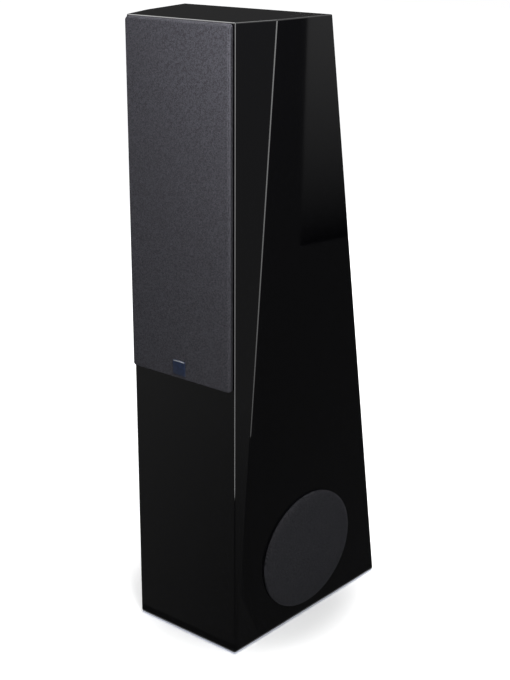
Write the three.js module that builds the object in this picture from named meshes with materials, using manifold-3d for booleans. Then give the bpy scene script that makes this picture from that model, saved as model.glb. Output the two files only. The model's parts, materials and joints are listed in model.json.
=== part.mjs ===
// A floorstanding three-way loudspeaker, in millimetres, +Z up.
// It stands on the floor at z = 0 and its front faces -Y.
// Two midranges and a tweeter sit behind the front grille. Two woofers fire out of the sides.

import * as THREE from 'three';
import { ConvexGeometry } from 'three/addons/geometries/ConvexGeometry.js';
import { mergeVertices } from 'three/addons/utils/BufferGeometryUtils.js';
import Module from 'manifold-3d';

const wasm = await Module();
wasm.setup();

// ---- driving dimensions -------------------------------------------------------------

const GAP = 0.3; // between pieces that are glued, screwed or seated together
const RUN = 0.6; // round a rod or peg in its hole

// Cabinet. The front edges are upright. The front cheek is a narrow facet that runs out at
// the foot, and the main side facet flares back at one angle from top to bottom.
const BODY_H = 1136;
const FRONT_W = 223;
const CREASE_X = 136; // crease between the two side facets, at the top
const CREASE_Y = 78;
const CREASE_FOOT_Y = 4;
const FLARE = Math.tan(THREE.MathUtils.degToRad(9.4));
const DEPTH_TOP = 209;
const DEPTH_BOTTOM = 390;
const WALL = { front: 25, side: 22, back: 19, top: 19, bottom: 22 };

// Base
const PAD_R = 18;
const PAD_H = 2;
const PAD_INSET = 30;
const PLINTH_T = 5;
const PLINTH_INSET = 0.5;
const PLINTH_CORNER = 3;

// Inner boards
const SHELF_Z = 560;
const BRACE_Z = 300;
const BOARD_T = 18;
const BRACE_RIM = 32;

// Front grille
const GRILLE_W = 216;
const GRILLE_BOTTOM_Z = 523;
const GRILLE_TOP_DROP = 1.5; // below the cabinet's top
const GRILLE_T = 10;
const GRILLE_STANDOFF = 1.5;
const GRILLE_CORNER = 7;
const GRILLE_BEVEL = 3;
const GRILLE_BEVEL_T = 5;
const CLOTH_T = 1.5;
const FRAME_RIM = 14;
const FRAME_BAR = 11;
const PEG_R = 4;
const PEG_L = 8;
const BADGE = { size: 27, thick: 1.2, above: 9 };

// Drive units. Depths are counted back from the flange's front face.
const TWEETER_Z = 862;
const MIDRANGE_PITCH = 150;
// Its hole, seat and lip follow its flange.
function coneDriver(sizes) {
  const cutR = sizes.flangeR - sizes.flangeW;
  const seatR = cutR - sizes.seatStep;
  return { ...sizes, cutR, seatR, lipR: seatR - sizes.lipW };
}
const MIDRANGE = coneDriver({
  flangeR: 82, flangeT: 4, flangeW: 9, seatStep: 1, lipW: 6, seatT: 2, rollW: 10, skirt: 5, rimW: 4,
  coneDepth: 20, coilR: 16, coilL: 16, capH: 7, basketDepth: 46, basketWall: 2.5,
  magnetR: 42, magnetH: 24, coilGap: 1.5, segments: 20,
});
const WOOFER = coneDriver({
  flangeR: 104, flangeT: 5, flangeW: 11, seatStep: 1, lipW: 7, seatT: 2, rollW: 13, skirt: 8, rimW: 5,
  coneDepth: 26, coilR: 24, coilL: 22, capH: 11, basketDepth: 60, basketWall: 3,
  magnetR: 56, magnetH: 32, coilGap: 1.5, segments: 24,
});
const SKIN = 1; // wall of surrounds and coil formers
const CONE_T = 1.4;
const TWEETER = {
  plateR: 52, plateT: 6, cutR: 40, mouthR: 25, throatR: 14.2, pocketR: 18.2, pocketT: 1.8,
  domeR: 12.7, domeH: 4.5, domeT: 0.4, rimR: 17.4, rimDrop: 0.75, magnetR: 36, magnetH: 22,
};

// Woofers and their round grilles, placed on the side facets
const WOOFER_Y = 190; // behind the front
const WOOFER_HEIGHT = 139; // above the cabinet's underside
const WOOFER_RECESS = 7;
const DISC = {
  r: 115, base: 0.8, edge: 5.5, shoulderR: 109.5, shoulder: 9, crown: 12.5, cloth: 1.5,
  ringW: 12, ringT: 5, pegR: 2, pegL: 7, pegAt: 109.5, pegs: 3, segments: 28,
};

// Back: port and terminals
const PORT = {
  z: 400, boreR: 38, wall: 3, length: 140, mouthR: 52, flareL: 14, flangeR: 62, flangeT: 3, segments: 16,
};
const TERMINAL = { z: 112, w: 116, h: 92, t: 3, corner: 8, holeW: 84, holeH: 60 };
const POST = {
  pitchX: 44, pitchZ: 38, rodR: 3, rodIn: 22, rodOut: 26, nutR: 7, nutT: 4, collarR: 8.5, collarT: 5,
  linkW: 13, linkT: 1.2, washerR: 7.5, washerT: 1.2, knobR: 8.5, knobL: 16, knobSides: 12, plugR: 2.1, segments: 10,
};

// Crossover and wadding
const XOVER = { w: 180, d: 56, t: 2, y: 326, leg: 5, legR: 4 };
const COIL = { r: 22, bore: 9, h: 20 };
const CAPACITOR = { r: 11, l: 42 };
const WADDING = { front: 118, height: 360, clearance: 2 };

// ---- materials ----------------------------------------------------------------------

const material = (color, roughness, metalness = 0) =>
  new THREE.MeshStandardMaterial({ color, roughness, metalness });

const FINISH = {
  lacquer: material(0x0a0b0d, 0.06),
  board: material(0x6d5a45, 0.8),
  plinth: material(0xb9bdc4, 0.35, 0.9),
  pad: material(0x141414, 0.85),
  cloth: material(0x3a3b42, 0.95),
  frame: material(0x151517, 0.6),
  badge: material(0x25304a, 0.3, 0.2),
  basket: material(0x1b1c1f, 0.45, 0.4),
  magnet: material(0x2a2b2e, 0.6, 0.3),
  roll: material(0x121212, 0.75),
  cone: material(0x2b2d31, 0.4, 0.3),
  dome: material(0x8c9096, 0.3, 0.8),
  port: material(0x101113, 0.5),
  plate: material(0x17181a, 0.4, 0.5),
  brass: material(0xc9a450, 0.25, 1),
  knob: material(0x26272a, 0.4),
  circuit: material(0x2f4a32, 0.6),
  copper: material(0xb06a3c, 0.35, 0.9),
  film: material(0x9a2f25, 0.4),
  wadding: material(0xd9d7cf, 1),
};

// ---- solids from geometries ----------------------------------------------------------

function solid(geometry, matrix) {
  const bare = geometry.clone();
  bare.deleteAttribute('normal');
  bare.deleteAttribute('uv');
  if (matrix) bare.applyMatrix4(matrix);
  const merged = mergeVertices(bare);
  const index = merged.index.array;
  const kept = [];
  for (let i = 0; i < index.length; i += 3) {
    const [a, b, c] = [index[i], index[i + 1], index[i + 2]];
    if (a !== b && b !== c && c !== a) kept.push(a, b, c);
  }
  return new wasm.Manifold(new wasm.Mesh({
    numProp: 3,
    vertProperties: new Float32Array(merged.attributes.position.array),
    triVerts: new Uint32Array(kept),
  }));
}

function geometryOf(body) {
  const mesh = body.getMesh();
  const geometry = new THREE.BufferGeometry();
  geometry.setAttribute('position', new THREE.BufferAttribute(mesh.vertProperties, 3));
  geometry.setIndex(new THREE.BufferAttribute(mesh.triVerts, 1));
  geometry.computeVertexNormals();
  return geometry;
}

// A round piece about local Z, from its [radius, height] outline, anticlockwise.
function turned(outline, segments, closed = false) {
  const points = outline.map(([r, z]) => new THREE.Vector2(r, z));
  if (closed) points.push(points[0].clone());
  return new THREE.LatheGeometry(points, segments).rotateX(Math.PI / 2);
}

function cylinder(radius, bottom, top, segments = 20) {
  const geometry = new THREE.CylinderGeometry(radius, radius, top - bottom, segments);
  return geometry.rotateX(Math.PI / 2).translate(0, 0, (top + bottom) / 2);
}

function block(width, height, bottom, top) {
  return new THREE.BoxGeometry(width, height, top - bottom).translate(0, 0, (top + bottom) / 2);
}

function roundedPoints(width, height, radius, steps = 3) {
  const corners = [[1, 1, 0], [-1, 1, 1], [-1, -1, 2], [1, -1, 3]];
  return corners.flatMap(([sx, sy, quarter]) =>
    Array.from({ length: steps + 1 }, (_, i) => {
      const angle = (quarter + i / steps) * Math.PI / 2;
      return new THREE.Vector2(
        sx * (width / 2 - radius) + radius * Math.cos(angle),
        sy * (height / 2 - radius) + radius * Math.sin(angle),
      );
    }));
}

const extruded = (shape, bottom, top) =>
  new THREE.ExtrudeGeometry(shape, { depth: top - bottom, bevelEnabled: false }).translate(0, 0, bottom);

// A slab lofted through rounded rectangles, each { z, inset }.
function bevelledSlab(width, height, radius, levels) {
  const points = levels.flatMap(({ z, inset }) =>
    roundedPoints(width - 2 * inset, height - 2 * inset, Math.max(radius - inset, 1))
      .map((p) => new THREE.Vector3(p.x, p.y, z)));
  return new ConvexGeometry(points);
}

// ---- the cabinet as a set of planes, each { n, d, t } with its wall thickness ----------

const CAB_BOTTOM = PAD_H + PLINTH_T;
const CAB_TOP = CAB_BOTTOM + BODY_H;

function planeThrough(a, b, c, t) {
  const n = new THREE.Vector3().crossVectors(b.clone().sub(a), c.clone().sub(a)).normalize();
  const inside = new THREE.Vector3(0, DEPTH_TOP / 2, (CAB_BOTTOM + CAB_TOP) / 2);
  if (n.dot(inside) > n.dot(a)) n.negate();
  return { n, d: n.dot(a), t };
}

const mirrored = ({ n, d, t }) => ({ n: new THREE.Vector3(-n.x, n.y, n.z), d, t });

function cabinetPlanes() {
  const v = (x, y, z) => new THREE.Vector3(x, y, z);
  const half = FRONT_W / 2;
  const cheekSlope = (CREASE_X - half) / CREASE_Y;
  const crease = v(CREASE_X, CREASE_Y, CAB_TOP);
  const foot = v(half + cheekSlope * CREASE_FOOT_Y, CREASE_FOOT_Y, CAB_BOTTOM);
  const along = crease.clone().add(v(FLARE, 1, 0));
  const cheek = planeThrough(v(half, 0, CAB_BOTTOM), v(half, 0, CAB_TOP), crease, WALL.side);
  const side = planeThrough(crease, along, foot, WALL.side);
  return {
    front: { n: v(0, -1, 0), d: 0, t: WALL.front },
    back: planeThrough(
      v(0, DEPTH_BOTTOM, CAB_BOTTOM), v(1, DEPTH_BOTTOM, CAB_BOTTOM), v(0, DEPTH_TOP, CAB_TOP), WALL.back),
    top: { n: v(0, 0, 1), d: CAB_TOP, t: WALL.top },
    bottom: { n: v(0, 0, -1), d: -CAB_BOTTOM, t: WALL.bottom },
    cheekRight: cheek,
    cheekLeft: mirrored(cheek),
    sideRight: side,
    sideLeft: mirrored(side),
  };
}

const PLANES = cabinetPlanes();

function meet(p, q, r) {
  const qr = new THREE.Vector3().crossVectors(q.n, r.n);
  const det = p.n.dot(qr);
  if (Math.abs(det) < 1e-6) return null;
  const rp = new THREE.Vector3().crossVectors(r.n, p.n);
  const pq = new THREE.Vector3().crossVectors(p.n, q.n);
  return qr.multiplyScalar(p.d).addScaledVector(rp, q.d).addScaledVector(pq, r.d).divideScalar(det);
}

// The convex body that all the planes keep.
function convexBody(planes) {
  const points = [];
  for (let i = 0; i < planes.length; i += 1) {
    for (let j = i + 1; j < planes.length; j += 1) {
      for (let k = j + 1; k < planes.length; k += 1) {
        const p = meet(planes[i], planes[j], planes[k]);
        const kept = p && planes.every(({ n, d }) => n.dot(p) <= d + 1e-6);
        if (kept && points.every((q) => q.distanceTo(p) > 1e-4)) points.push(p);
      }
    }
  }
  return solid(new ConvexGeometry(points));
}

const moved = ({ n, d, t }, out) => ({ n, d: d + out, t });
const insideWalls = (clearance) => Object.values(PLANES).map((p) => moved(p, -p.t - clearance));
const flat = (x, y, z, d) => ({ n: new THREE.Vector3(x, y, z), d });

// The glued mitre between two walls runs from their outer edge to their inner edge.
function mitre(own, other, out) {
  const n = other.n.clone().divideScalar(other.t).addScaledVector(own.n, -1 / own.t);
  const d = other.d / other.t - own.d / own.t;
  const length = n.length();
  return { n: n.divideScalar(length), d: d / length + out };
}

function wall(name, grown = 0) {
  const own = PLANES[name];
  const out = grown ? GAP / 2 : -GAP / 2;
  const others = Object.keys(PLANES).filter((key) => key !== name);
  const inner = { n: own.n.clone().negate(), d: own.t - own.d + grown };
  return convexBody([moved(own, grown), inner, ...others.map((key) => mitre(own, PLANES[key], out))]);
}

function sideWall(sign) {
  let body = convexBody([...Object.values(PLANES), flat(-sign, 0, 0, 0)]).subtract(convexBody(insideWalls(0)));
  for (const name of ['front', 'back', 'top', 'bottom']) body = body.subtract(wall(name, 1));
  return body;
}

function board(bottom, thick) {
  return convexBody([...insideWalls(GAP), flat(0, 0, -1, -bottom), flat(0, 0, 1, bottom + thick)]);
}

const depthAt = (z) => DEPTH_BOTTOM + (DEPTH_TOP - DEPTH_BOTTOM) * (z - CAB_BOTTOM) / BODY_H;

// ---- places: local +Z points out of the cabinet, local +Y up --------------------------

function placeOn(plane, x, y, z) {
  const out = plane.n.clone();
  const origin = new THREE.Vector3(x, y, z);
  origin.addScaledVector(out, plane.d - out.dot(origin));
  const right = new THREE.Vector3().crossVectors(new THREE.Vector3(0, 0, 1), out).normalize();
  const up = new THREE.Vector3().crossVectors(out, right);
  return new THREE.Matrix4().makeBasis(right, up, out).setPosition(origin);
}

const PLACE = {
  midrangeUpper: placeOn(PLANES.front, 0, 0, TWEETER_Z + MIDRANGE_PITCH),
  tweeter: placeOn(PLANES.front, 0, 0, TWEETER_Z),
  midrangeLower: placeOn(PLANES.front, 0, 0, TWEETER_Z - MIDRANGE_PITCH),
  grille: placeOn(PLANES.front, 0, 0, (GRILLE_BOTTOM_Z + CAB_TOP - GRILLE_TOP_DROP) / 2),
  wooferRight: placeOn(PLANES.sideRight, FRONT_W / 2, WOOFER_Y, CAB_BOTTOM + WOOFER_HEIGHT),
  wooferLeft: placeOn(PLANES.sideLeft, -FRONT_W / 2, WOOFER_Y, CAB_BOTTOM + WOOFER_HEIGHT),
  port: placeOn(PLANES.back, 0, depthAt(PORT.z), PORT.z),
  terminals: placeOn(PLANES.back, 0, depthAt(TERMINAL.z), TERMINAL.z),
};

const speaker = new THREE.Group();

function addPiece(name, geometry, finish, place) {
  const mesh = new THREE.Mesh(geometry, finish.clone());
  mesh.name = name;
  if (place) {
    place.decompose(mesh.position, mesh.quaternion, mesh.scale);
  }
  speaker.add(mesh);
}

// ---- cut-outs in the walls -------------------------------------------------------------

// Through hole with a rebate for the flange, sunk by `recess`.
function driverCut(flangeR, flangeT, cutR, through, recess, segments, place) {
  const rebate = -recess - flangeT - GAP;
  const outline = [[0, -through], [cutR, -through], [cutR, rebate], [flangeR + GAP, rebate], [flangeR + GAP, 5], [0, 5]];
  return solid(turned(outline, segments), place);
}

function roundHole(radius, bottom, top, x, y, place, segments = 12) {
  return solid(cylinder(radius, bottom, top, segments).translate(x, y, 0), place);
}

const GRILLE_H = CAB_TOP - GRILLE_TOP_DROP - GRILLE_BOTTOM_Z;
const PEG_SPOTS = [[-1, -1], [1, -1], [-1, 1], [1, 1]].map(([sx, sy]) =>
  [sx * (GRILLE_W / 2 - FRAME_RIM / 2 - CLOTH_T), sy * (GRILLE_H / 2 - 60)]);
const DISC_PEG_SPOTS = Array.from({ length: DISC.pegs }, (_, i) => {
  const angle = Math.PI / 2 + i * 2 * Math.PI / DISC.pegs;
  return [DISC.pegAt * Math.cos(angle), DISC.pegAt * Math.sin(angle)];
});
const POST_SPOTS = [[-1, -1], [1, -1], [-1, 1], [1, 1]].map(([sx, sy]) =>
  [sx * POST.pitchX / 2, sy * POST.pitchZ / 2]);

function frontBaffle() {
  let body = wall('front');
  for (const place of [PLACE.midrangeUpper, PLACE.midrangeLower]) {
    const { flangeR, flangeT, cutR, segments } = MIDRANGE;
    body = body.subtract(driverCut(flangeR, flangeT, cutR, 60, 0, segments, place));
  }
  body = body.subtract(driverCut(TWEETER.plateR, TWEETER.plateT, TWEETER.cutR, 60, 0, 20, PLACE.tweeter));
  for (const [x, y] of PEG_SPOTS) {
    body = body.subtract(roundHole(PEG_R + RUN / 2, -PEG_L - 1, 5, x, y, PLACE.grille));
  }
  return body;
}

function sidePanel(sign, place) {
  const { flangeR, flangeT, cutR, segments } = WOOFER;
  let body = sideWall(sign).subtract(driverCut(flangeR, flangeT, cutR, 60, WOOFER_RECESS, segments, place));
  for (const [x, y] of DISC_PEG_SPOTS) {
    body = body.subtract(roundHole(DISC.pegR + RUN / 2, -DISC.pegL - 1, 5, x, y, place));
  }
  return body;
}

function backPanel() {
  const opening = solid(block(TERMINAL.holeW, TERMINAL.holeH, -60, 5), PLACE.terminals);
  const bore = roundHole(PORT.boreR + PORT.wall + GAP, -60, 5, 0, 0, PLACE.port, PORT.segments);
  return wall('back').subtract(opening).subtract(bore);
}

function addCabinet() {
  addPiece('front_baffle', geometryOf(frontBaffle()), FINISH.lacquer);
  addPiece('side_panel_right', geometryOf(sidePanel(1, PLACE.wooferRight)), FINISH.lacquer);
  addPiece('side_panel_left', geometryOf(sidePanel(-1, PLACE.wooferLeft)), FINISH.lacquer);
  addPiece('back_panel', geometryOf(backPanel()), FINISH.lacquer);
  addPiece('top_panel', geometryOf(wall('top')), FINISH.lacquer);
  addPiece('bottom_panel', geometryOf(wall('bottom')), FINISH.lacquer);
}

// The shelf seals the midrange chamber. The brace is open in the middle.
function addInnerBoards() {
  addPiece('chamber_shelf', geometryOf(board(SHELF_Z, BOARD_T)), FINISH.board);
  const hole = convexBody([
    ...insideWalls(BRACE_RIM), flat(0, 0, -1, -BRACE_Z + 5), flat(0, 0, 1, BRACE_Z + BOARD_T + 5)]);
  addPiece('window_brace', geometryOf(board(BRACE_Z, BOARD_T).subtract(hole)), FINISH.board);
}

// ---- base ------------------------------------------------------------------------------

// The cabinet's outline at its foot, front right corner first, anticlockwise from above.
function footOutline(inset) {
  const sides = ['cheekRight', 'sideRight', 'back', 'sideLeft', 'cheekLeft', 'front'];
  const level = flat(0, 0, -1, -CAB_BOTTOM);
  return sides.map((name, i) => {
    const before = moved(PLANES[sides[(i + 5) % 6]], -inset);
    return meet(before, moved(PLANES[name], -inset), level);
  });
}

function softPolygon(points, reach) {
  const shape = new THREE.Shape();
  points.forEach((corner, i) => {
    const last = points[(i + points.length - 1) % points.length];
    const next = points[(i + 1) % points.length];
    const cut = (other) => Math.min(reach, corner.distanceTo(other) / 2);
    const start = corner.clone().lerp(last, cut(last) / corner.distanceTo(last));
    const end = corner.clone().lerp(next, cut(next) / corner.distanceTo(next));
    if (i === 0) shape.moveTo(start.x, start.y);
    else shape.lineTo(start.x, start.y);
    shape.quadraticCurveTo(corner.x, corner.y, end.x, end.y);
  });
  return shape;
}

function addBase() {
  const outline = softPolygon(footOutline(PLINTH_INSET), PLINTH_CORNER);
  const options = { depth: PLINTH_T - 2 * GAP, bevelEnabled: false, curveSegments: 4 };
  const plate = new THREE.ExtrudeGeometry(outline, options).translate(0, 0, PAD_H + GAP);
  addPiece('plinth_plate', plate, FINISH.plinth);
  const corners = footOutline(PAD_INSET);
  const spots = { front_right: corners[0], back_right: corners[2], back_left: corners[3], front_left: corners[5] };
  for (const [name, spot] of Object.entries(spots)) {
    addPiece(`foot_pad_${name}`, cylinder(PAD_R, 0, PAD_H).translate(spot.x, spot.y, 0), FINISH.pad);
  }
}

// ---- cone drivers ----------------------------------------------------------------------

function basketOutline(s) {
  const { flangeR, flangeT, cutR, seatR, seatT, lipR, basketDepth, basketWall, magnetR, coilR, coilGap } = s;
  const neckR = magnetR * 0.9;
  const holeR = coilR + SKIN + coilGap + 1;
  const shoulder = -flangeT - 8;
  return [
    [holeR, -basketDepth], [neckR, -basketDepth], [cutR - 2 * GAP, shoulder], [cutR - 2 * GAP, -flangeT],
    [flangeR, -flangeT], [flangeR, 0], [seatR, 0], [seatR, -seatT], [lipR, -seatT], [lipR, shoulder],
    [neckR - basketWall, -basketDepth + basketWall], [holeR, -basketDepth + basketWall],
  ];
}

function magnetOutline(s) {
  const top = -s.basketDepth - GAP;
  const bottom = top - s.magnetH;
  const floor = bottom + 5;
  const gapR = s.coilR + SKIN + s.coilGap;
  const poleR = s.coilR - s.coilGap;
  return [[0, bottom], [s.magnetR, bottom], [s.magnetR, top], [gapR, top], [gapR, floor], [poleR, floor], [poleR, top], [0, top]];
}

function rollPlace(s) {
  const outer = s.lipR + 1;
  return { centre: outer - s.rollW / 2, inner: outer - s.rollW };
}

function halfRoll(centre, radius, base, steps, backwards) {
  return Array.from({ length: steps + 1 }, (_, i) => {
    const angle = Math.PI * (backwards ? 1 - i / steps : i / steps);
    return [centre + radius * Math.cos(angle), base + radius * 0.75 * Math.sin(angle)];
  });
}

// The roll stays on the basket. Its inner skirt is the wall that the cone's rim slides along.
function surroundOutline(s) {
  const back = -s.seatT + GAP;
  const front = back + SKIN;
  const { centre, inner } = rollPlace(s);
  return [
    [inner, back - s.skirt], [inner + SKIN, back - s.skirt],
    ...halfRoll(centre, s.rollW / 2 - SKIN, back, 3, true), [s.seatR - GAP, back],
    [s.seatR - GAP, front], ...halfRoll(centre, s.rollW / 2, front, 3, false),
  ];
}

// Cone, dust cap and coil former in one.
function coneOutline(s) {
  const rimR = rollPlace(s).inner - GAP;
  const flatIn = rimR - s.rimW;
  const front = -s.seatT;
  const neck = front - s.coneDepth;
  const { coilR, coilL, capH } = s;
  const outer = coilR + SKIN;
  const cap = (r) => neck + CONE_T + capH * (1 - (r / outer) ** 2);
  const steps = [0.55];
  return [
    [0, cap(0) - SKIN], ...[...steps].reverse().map((f) => [coilR * f, cap(outer * f) - SKIN]),
    [coilR, neck], [coilR, neck - coilL], [outer, neck - coilL], [outer, neck - CONE_T],
    [flatIn, front - CONE_T - 0.4], [rimR, front - CONE_T], [rimR, front], [flatIn, front],
    [outer + 1, neck + CONE_T], [outer, neck + CONE_T], ...steps.map((f) => [outer * f, cap(outer * f)]), [0, cap(0)],
  ];
}

function addConeDriver(name, s, place, recess) {
  const seat = place.clone().multiply(new THREE.Matrix4().makeTranslation(0, 0, -recess));
  addPiece(`${name}_basket`, turned(basketOutline(s), s.segments, true), FINISH.basket, seat);
  addPiece(`${name}_magnet`, turned(magnetOutline(s), 16), FINISH.magnet, seat);
  addPiece(`${name}_surround`, turned(surroundOutline(s), s.segments, true), FINISH.roll, seat);
  addPiece(`${name}_cone`, turned(coneOutline(s), s.segments), FINISH.cone, seat);
}

function addTweeter() {
  const t = TWEETER;
  const pocket = -t.plateT + t.pocketT;
  const plate = [
    [t.pocketR, -t.plateT], [t.plateR, -t.plateT], [t.plateR, 0], [t.mouthR, 0],
    [t.throatR + 2, pocket + 1.4], [t.throatR, pocket], [t.pocketR, pocket],
  ];
  addPiece('tweeter_plate', turned(plate, 20, true), FINISH.plate, PLACE.tweeter);
  const rimTop = pocket - t.rimDrop;
  const arch = (r) => rimTop + t.domeH * (1 - (r / t.domeR) ** 2);
  const steps = [0.6];
  const dome = [
    [0, arch(0) - t.domeT], ...[...steps].reverse().map((f) => [t.domeR * f, arch(t.domeR * f) - t.domeT]),
    [t.domeR, rimTop - t.domeT], [t.rimR, rimTop - t.domeT], [t.rimR, rimTop], [t.domeR, rimTop],
    ...steps.map((f) => [t.domeR * f, arch(t.domeR * f)]), [0, arch(0)],
  ];
  addPiece('tweeter_dome', turned(dome, 20), FINISH.dome, PLACE.tweeter);
  const top = -t.plateT - GAP;
  addPiece('tweeter_magnet', cylinder(t.magnetR, top - t.magnetH, top), FINISH.magnet, PLACE.tweeter);
}

// ---- grilles ---------------------------------------------------------------------------

function grilleFrame() {
  const width = GRILLE_W - 2 * (CLOTH_T + GAP);
  const height = GRILLE_H - 2 * (CLOTH_T + GAP);
  const bottom = GRILLE_STANDOFF;
  const top = GRILLE_STANDOFF + GRILLE_T - CLOTH_T - GAP - GRILLE_BEVEL_T + 1;
  const shape = new THREE.Shape(roundedPoints(width, height, GRILLE_CORNER - CLOTH_T));
  let body = solid(extruded(shape, bottom, top));
  const centre = (GRILLE_BOTTOM_Z + CAB_TOP - GRILLE_TOP_DROP) / 2;
  const between = (MIDRANGE_PITCH - MIDRANGE.flangeR + TWEETER.plateR) / 2;
  const bars = [TWEETER_Z + between, TWEETER_Z - between, TWEETER_Z - MIDRANGE_PITCH - MIDRANGE.flangeR - FRAME_BAR];
  const edges = [height / 2 - FRAME_RIM, ...bars.map((z) => z - centre), -height / 2 + FRAME_RIM];
  for (let i = 0; i < edges.length - 1; i += 1) {
    const high = edges[i] - (i === 0 ? 0 : FRAME_BAR / 2);
    const low = edges[i + 1] + (i === edges.length - 2 ? 0 : FRAME_BAR / 2);
    const window = block(width - 2 * FRAME_RIM, high - low, bottom - 5, top + 5).translate(0, (high + low) / 2, 0);
    body = body.subtract(solid(window));
  }
  for (const [x, y] of PEG_SPOTS) {
    body = body.add(solid(cylinder(PEG_R, -PEG_L, top - 1, 12).translate(x, y, 0)));
  }
  return { body, top };
}

function addFrontGrille() {
  const { body, top } = grilleFrame();
  addPiece('grille_frame', geometryOf(body), FINISH.frame, PLACE.grille);
  const face = GRILLE_STANDOFF + GRILLE_T;
  const outer = bevelledSlab(GRILLE_W, GRILLE_H, GRILLE_CORNER, [
    { z: GRILLE_STANDOFF, inset: 0 }, { z: face - GRILLE_BEVEL_T, inset: 0 }, { z: face, inset: GRILLE_BEVEL }]);
  const pocket = bevelledSlab(GRILLE_W, GRILLE_H, GRILLE_CORNER, [
    { z: -5, inset: CLOTH_T }, { z: top + GAP, inset: CLOTH_T }, { z: face - CLOTH_T, inset: CLOTH_T + GRILLE_BEVEL }]);
  addPiece('grille_cloth', geometryOf(solid(outer).subtract(solid(pocket))), FINISH.cloth, PLACE.grille);
  const badge = block(BADGE.size, BADGE.size, face + GAP, face + GAP + BADGE.thick);
  badge.translate(0, -GRILLE_H / 2 + BADGE.above + BADGE.size / 2, 0);
  addPiece('badge_plate', badge, FINISH.badge, PLACE.grille);
}

function addDiscGrille(side, place) {
  const ringR = DISC.r - DISC.cloth - GAP - 0.9;
  const ringTop = DISC.base + DISC.ringT;
  const ring = [[ringR - DISC.ringW, DISC.base], [ringR, DISC.base], [ringR, ringTop - 1.5], [ringR - 2, ringTop], [ringR - DISC.ringW, ringTop]];
  let frame = solid(turned(ring, DISC.segments, true));
  for (const [x, y] of DISC_PEG_SPOTS) {
    frame = frame.add(solid(cylinder(DISC.pegR, -DISC.pegL, DISC.base + 2, 10).translate(x, y, 0)));
  }
  addPiece(`disc_frame_${side}`, geometryOf(frame), FINISH.frame, place);
  const rise = (r) => DISC.shoulder + (DISC.crown - DISC.shoulder) * (1 - (r / DISC.shoulderR) ** 2);
  const inner = DISC.r - DISC.cloth;
  const steps = [0.7, 0.35].map((f) => f * DISC.shoulderR);
  const cloth = [
    [0, DISC.crown - DISC.cloth], ...[...steps].reverse().map((r) => [r, rise(r) - DISC.cloth]),
    [DISC.shoulderR - 1, DISC.shoulder - DISC.cloth], [inner, DISC.edge - 0.6], [inner, DISC.base], [DISC.r, DISC.base],
    [DISC.r, DISC.edge], [DISC.shoulderR, DISC.shoulder], ...steps.map((r) => [r, rise(r)]), [0, DISC.crown],
  ];
  addPiece(`disc_cloth_${side}`, turned(cloth, DISC.segments), FINISH.cloth, place);
}

// ---- back ------------------------------------------------------------------------------

function addPort() {
  const p = PORT;
  const tube = p.boreR + p.wall;
  const outline = [
    [p.boreR, -p.length], [tube, -p.length], [tube, GAP], [p.flangeR, GAP],
    [p.flangeR, GAP + p.flangeT], [p.mouthR, GAP + p.flangeT], [p.boreR, -p.flareL],
  ];
  addPiece('port_tube', turned(outline, p.segments, true), FINISH.port, PLACE.port);
}

function addTerminals() {
  const { w, h, t, corner } = TERMINAL;
  let plate = solid(extruded(new THREE.Shape(roundedPoints(w, h, corner)), GAP, GAP + t));
  for (const [x, y] of POST_SPOTS) plate = plate.subtract(roundHole(POST.rodR + RUN, -5, 10, x, y));
  addPiece('terminal_plate', geometryOf(plate), FINISH.plate, PLACE.terminals);
  const collar = GAP + t + GAP;
  const link = collar + POST.collarT + GAP;
  const washer = link + POST.linkT + GAP;
  const knob = washer + POST.washerT + GAP;
  POST_SPOTS.forEach(([x, y], i) => {
    const n = i + 1;
    const stem = [
      [0, -POST.rodIn], [POST.rodR, -POST.rodIn], [POST.rodR, -POST.nutT], [POST.nutR, -POST.nutT], [POST.nutR, 0],
      [POST.rodR, 0], [POST.rodR, collar], [POST.collarR, collar], [POST.collarR, collar + POST.collarT],
      [POST.rodR, collar + POST.collarT], [POST.rodR, POST.rodOut], [0, POST.rodOut],
    ];
    addPiece(`post_stem_${n}`, turned(stem, POST.segments).translate(x, y, 0), FINISH.brass, PLACE.terminals);
    const ring = [[POST.rodR + RUN / 2, washer], [POST.washerR, washer], [POST.washerR, washer + POST.washerT], [POST.rodR + RUN / 2, washer + POST.washerT]];
    addPiece(`post_washer_${n}`, turned(ring, POST.segments, true).translate(x, y, 0), FINISH.brass, PLACE.terminals);
    const grip = new THREE.CylinderGeometry(POST.knobR, POST.knobR, POST.knobL, POST.knobSides).rotateX(Math.PI / 2);
    const bore = [[0, knob - 5], [POST.rodR + RUN / 2, knob - 5], [POST.rodR + RUN / 2, POST.rodOut + 0.4], [POST.plugR, POST.rodOut + 0.4], [POST.plugR, 60], [0, 60]];
    const body = solid(grip.translate(0, 0, knob + POST.knobL / 2)).subtract(solid(turned(bore, POST.segments)));
    addPiece(`post_knob_${n}`, geometryOf(body).translate(x, y, 0), FINISH.knob, PLACE.terminals);
  });
  for (const [name, x] of [['left', -POST.pitchX / 2], ['right', POST.pitchX / 2]]) {
    const outline = new THREE.Shape(roundedPoints(POST.linkW, POST.pitchZ + POST.linkW, POST.linkW / 2 - 0.01));
    let strap = solid(extruded(outline, link, link + POST.linkT));
    for (const sy of [-1, 1]) strap = strap.subtract(roundHole(POST.rodR + RUN, 0, 60, 0, sy * POST.pitchZ / 2));
    addPiece(`jumper_link_${name}`, geometryOf(strap).translate(x, 0, 0), FINISH.brass, PLACE.terminals);
  }
}

// ---- inside ----------------------------------------------------------------------------

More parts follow.
